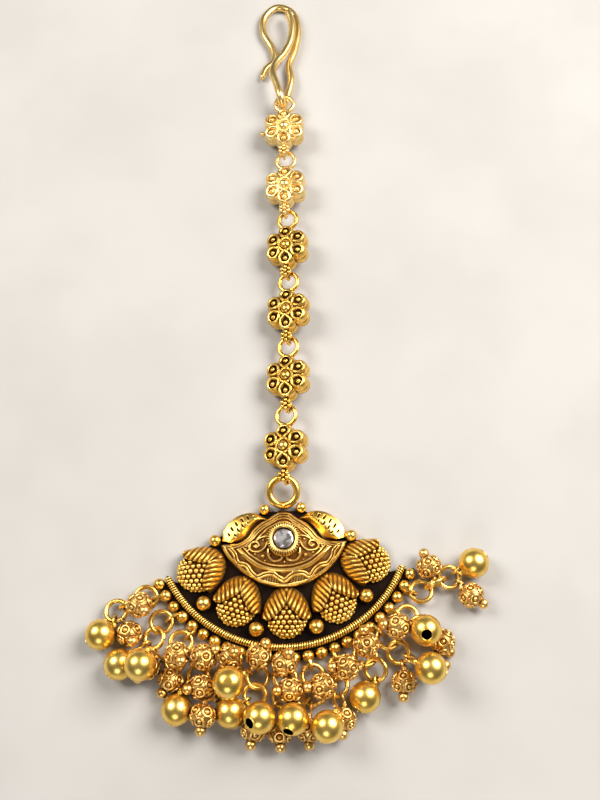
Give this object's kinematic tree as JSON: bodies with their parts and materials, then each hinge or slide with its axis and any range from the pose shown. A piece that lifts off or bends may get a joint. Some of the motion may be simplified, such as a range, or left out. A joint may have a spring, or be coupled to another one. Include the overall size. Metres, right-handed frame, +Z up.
{
  "type": "maang tikka",
  "caption": "Hair and forehead ornament: a wire hook, a row of flower links and a fan-shaped pendant with an eye plaque, a glass stone and a fringe of ball and bead drops.",
  "frame": {"origin": "on the surface that the ornament lies on, under the centre of its bounding box", "axes": "+Z up out of the surface, +Y along the ornament from the fringe toward the hook, +X to the wearer's left"},
  "size_m": [0.0618, 0.1364, 0.0091],
  "materials": {
    "antique_gold": "antiqued gold-tone metal, dark in its recesses and polished on its high points",
    "bright_gold": "smooth satin gold-tone metal",
    "glass_stone": "flat glass stone backed with foil"
  },
  "bodies": {
    "root": {"hook": "bright_gold", "flower_link_1": "bright_gold", "flower_link_2": "bright_gold", "flower_link_3": "antique_gold", "flower_link_4": "antique_gold", "flower_link_5": "antique_gold", "flower_link_6": "antique_gold", "pendant_body": "antique_gold", "stone": "glass_stone", "ball_drop_01": "bright_gold", "ball_drop_02": "bright_gold", "ball_drop_03": "bright_gold", "ball_drop_04": "bright_gold", "ball_drop_05": "bright_gold", "ball_drop_06": "bright_gold", "ball_drop_07": "bright_gold", "ball_drop_08": "bright_gold", "ball_drop_09": "bright_gold", "ball_drop_10": "bright_gold", "ball_drop_11": "bright_gold", "ball_drop_12": "bright_gold", "ball_drop_13": "bright_gold", "bead_tassel_01": "antique_gold", "bead_tassel_02": "antique_gold", "bead_tassel_03": "antique_gold", "bead_tassel_04": "antique_gold", "bead_tassel_05": "antique_gold", "bead_tassel_06": "antique_gold", "bead_tassel_07": "antique_gold", "bead_tassel_08": "antique_gold", "bead_tassel_09": "antique_gold", "bead_tassel_10": "antique_gold", "bead_tassel_11": "antique_gold", "bead_tassel_12": "antique_gold", "bead_tassel_13": "antique_gold"}
  },
  "joints": []
}
